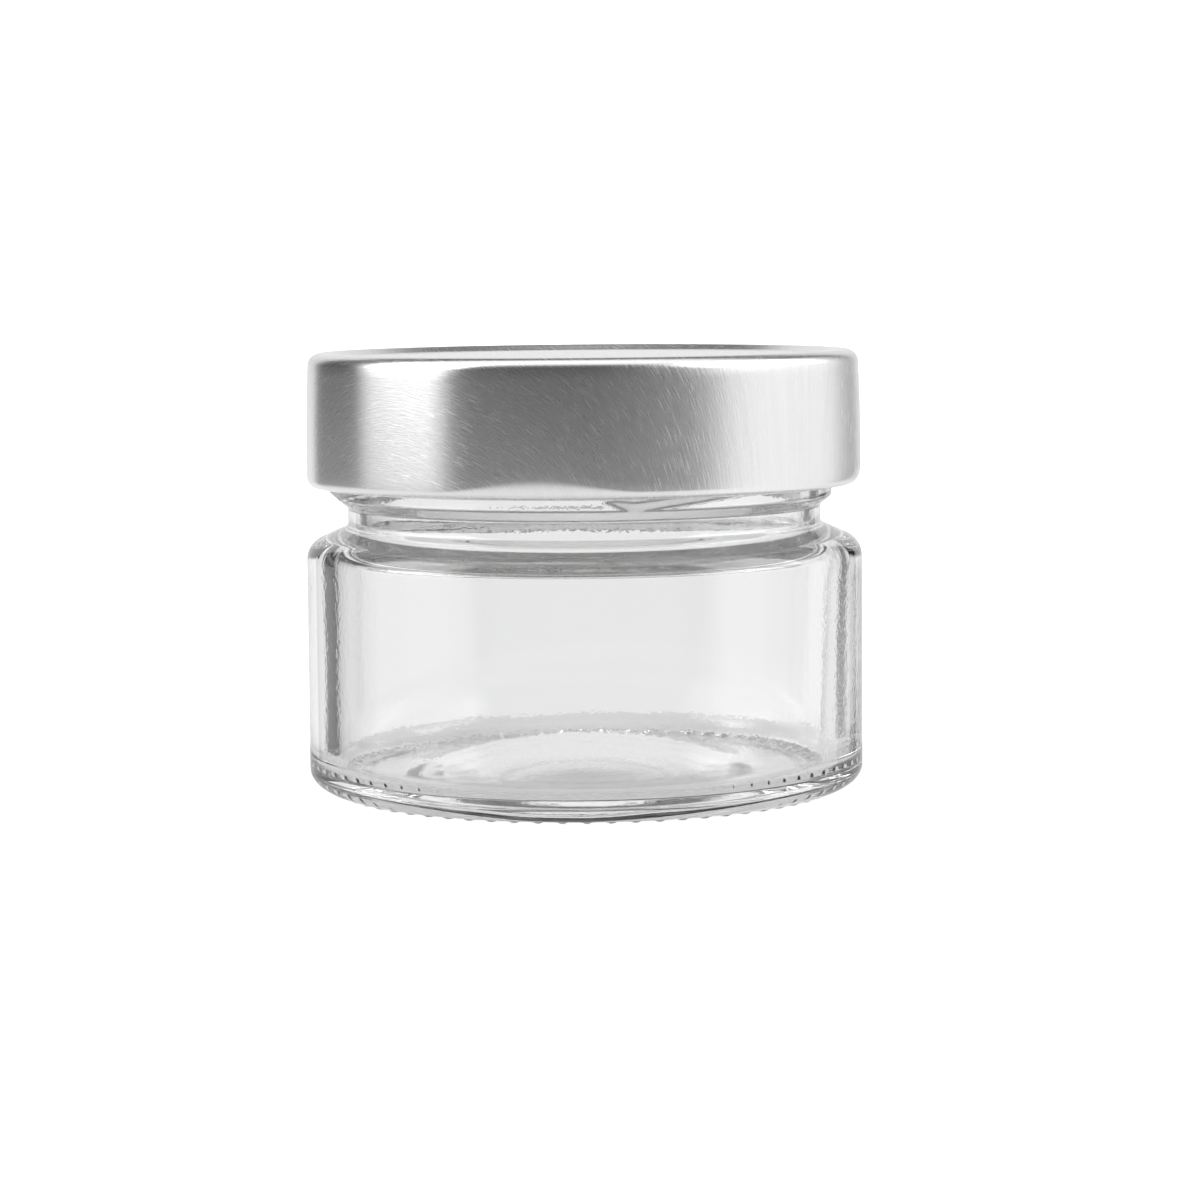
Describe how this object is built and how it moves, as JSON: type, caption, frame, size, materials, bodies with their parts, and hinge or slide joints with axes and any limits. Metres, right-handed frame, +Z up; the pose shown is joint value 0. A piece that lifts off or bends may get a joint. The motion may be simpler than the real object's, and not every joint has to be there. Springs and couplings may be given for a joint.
{
  "type": "glass jar with twist-off lid",
  "caption": "Short, wide clear glass jar with a deep brushed metal twist-off lid and a sealing ring, for candles or preserves.",
  "frame": {"origin": "centre of the circle that the jar stands on, at table level", "axes": "+Z up along the jar's axis of symmetry, -Y towards the front, +X to the right"},
  "size_m": [0.0738, 0.0738, 0.0582],
  "materials": {
    "clear_glass": "clear soda-lime glass, fire polished, with faint mould waviness",
    "plastisol": "matt, off-white flowed-in plastisol",
    "brushed_tinplate": "silver tinplate, brushed along the sheet, satin lacquer"
  },
  "bodies": {
    "jar": {"glass_jar": "clear_glass"},
    "seal": {"sealing_ring": "plastisol"},
    "lid": {"lid_shell": "brushed_tinplate"}
  },
  "joints": [
    {"name": "lid_rise", "type": "slide", "parent": "jar", "child": "seal", "axis": [0, 0, 1], "range_m": [0, 0.0197]},
    {"name": "lid_turn", "type": "hinge", "parent": "seal", "child": "lid", "pos_m": [0, 0, 0.05], "axis": [0, 0, 1], "range_deg": [0, 300]}
  ],
  "couplings": [
    {"joint": "lid_rise", "follows": "lid_turn", "m_per_rad": 0.0037561}
  ]
}
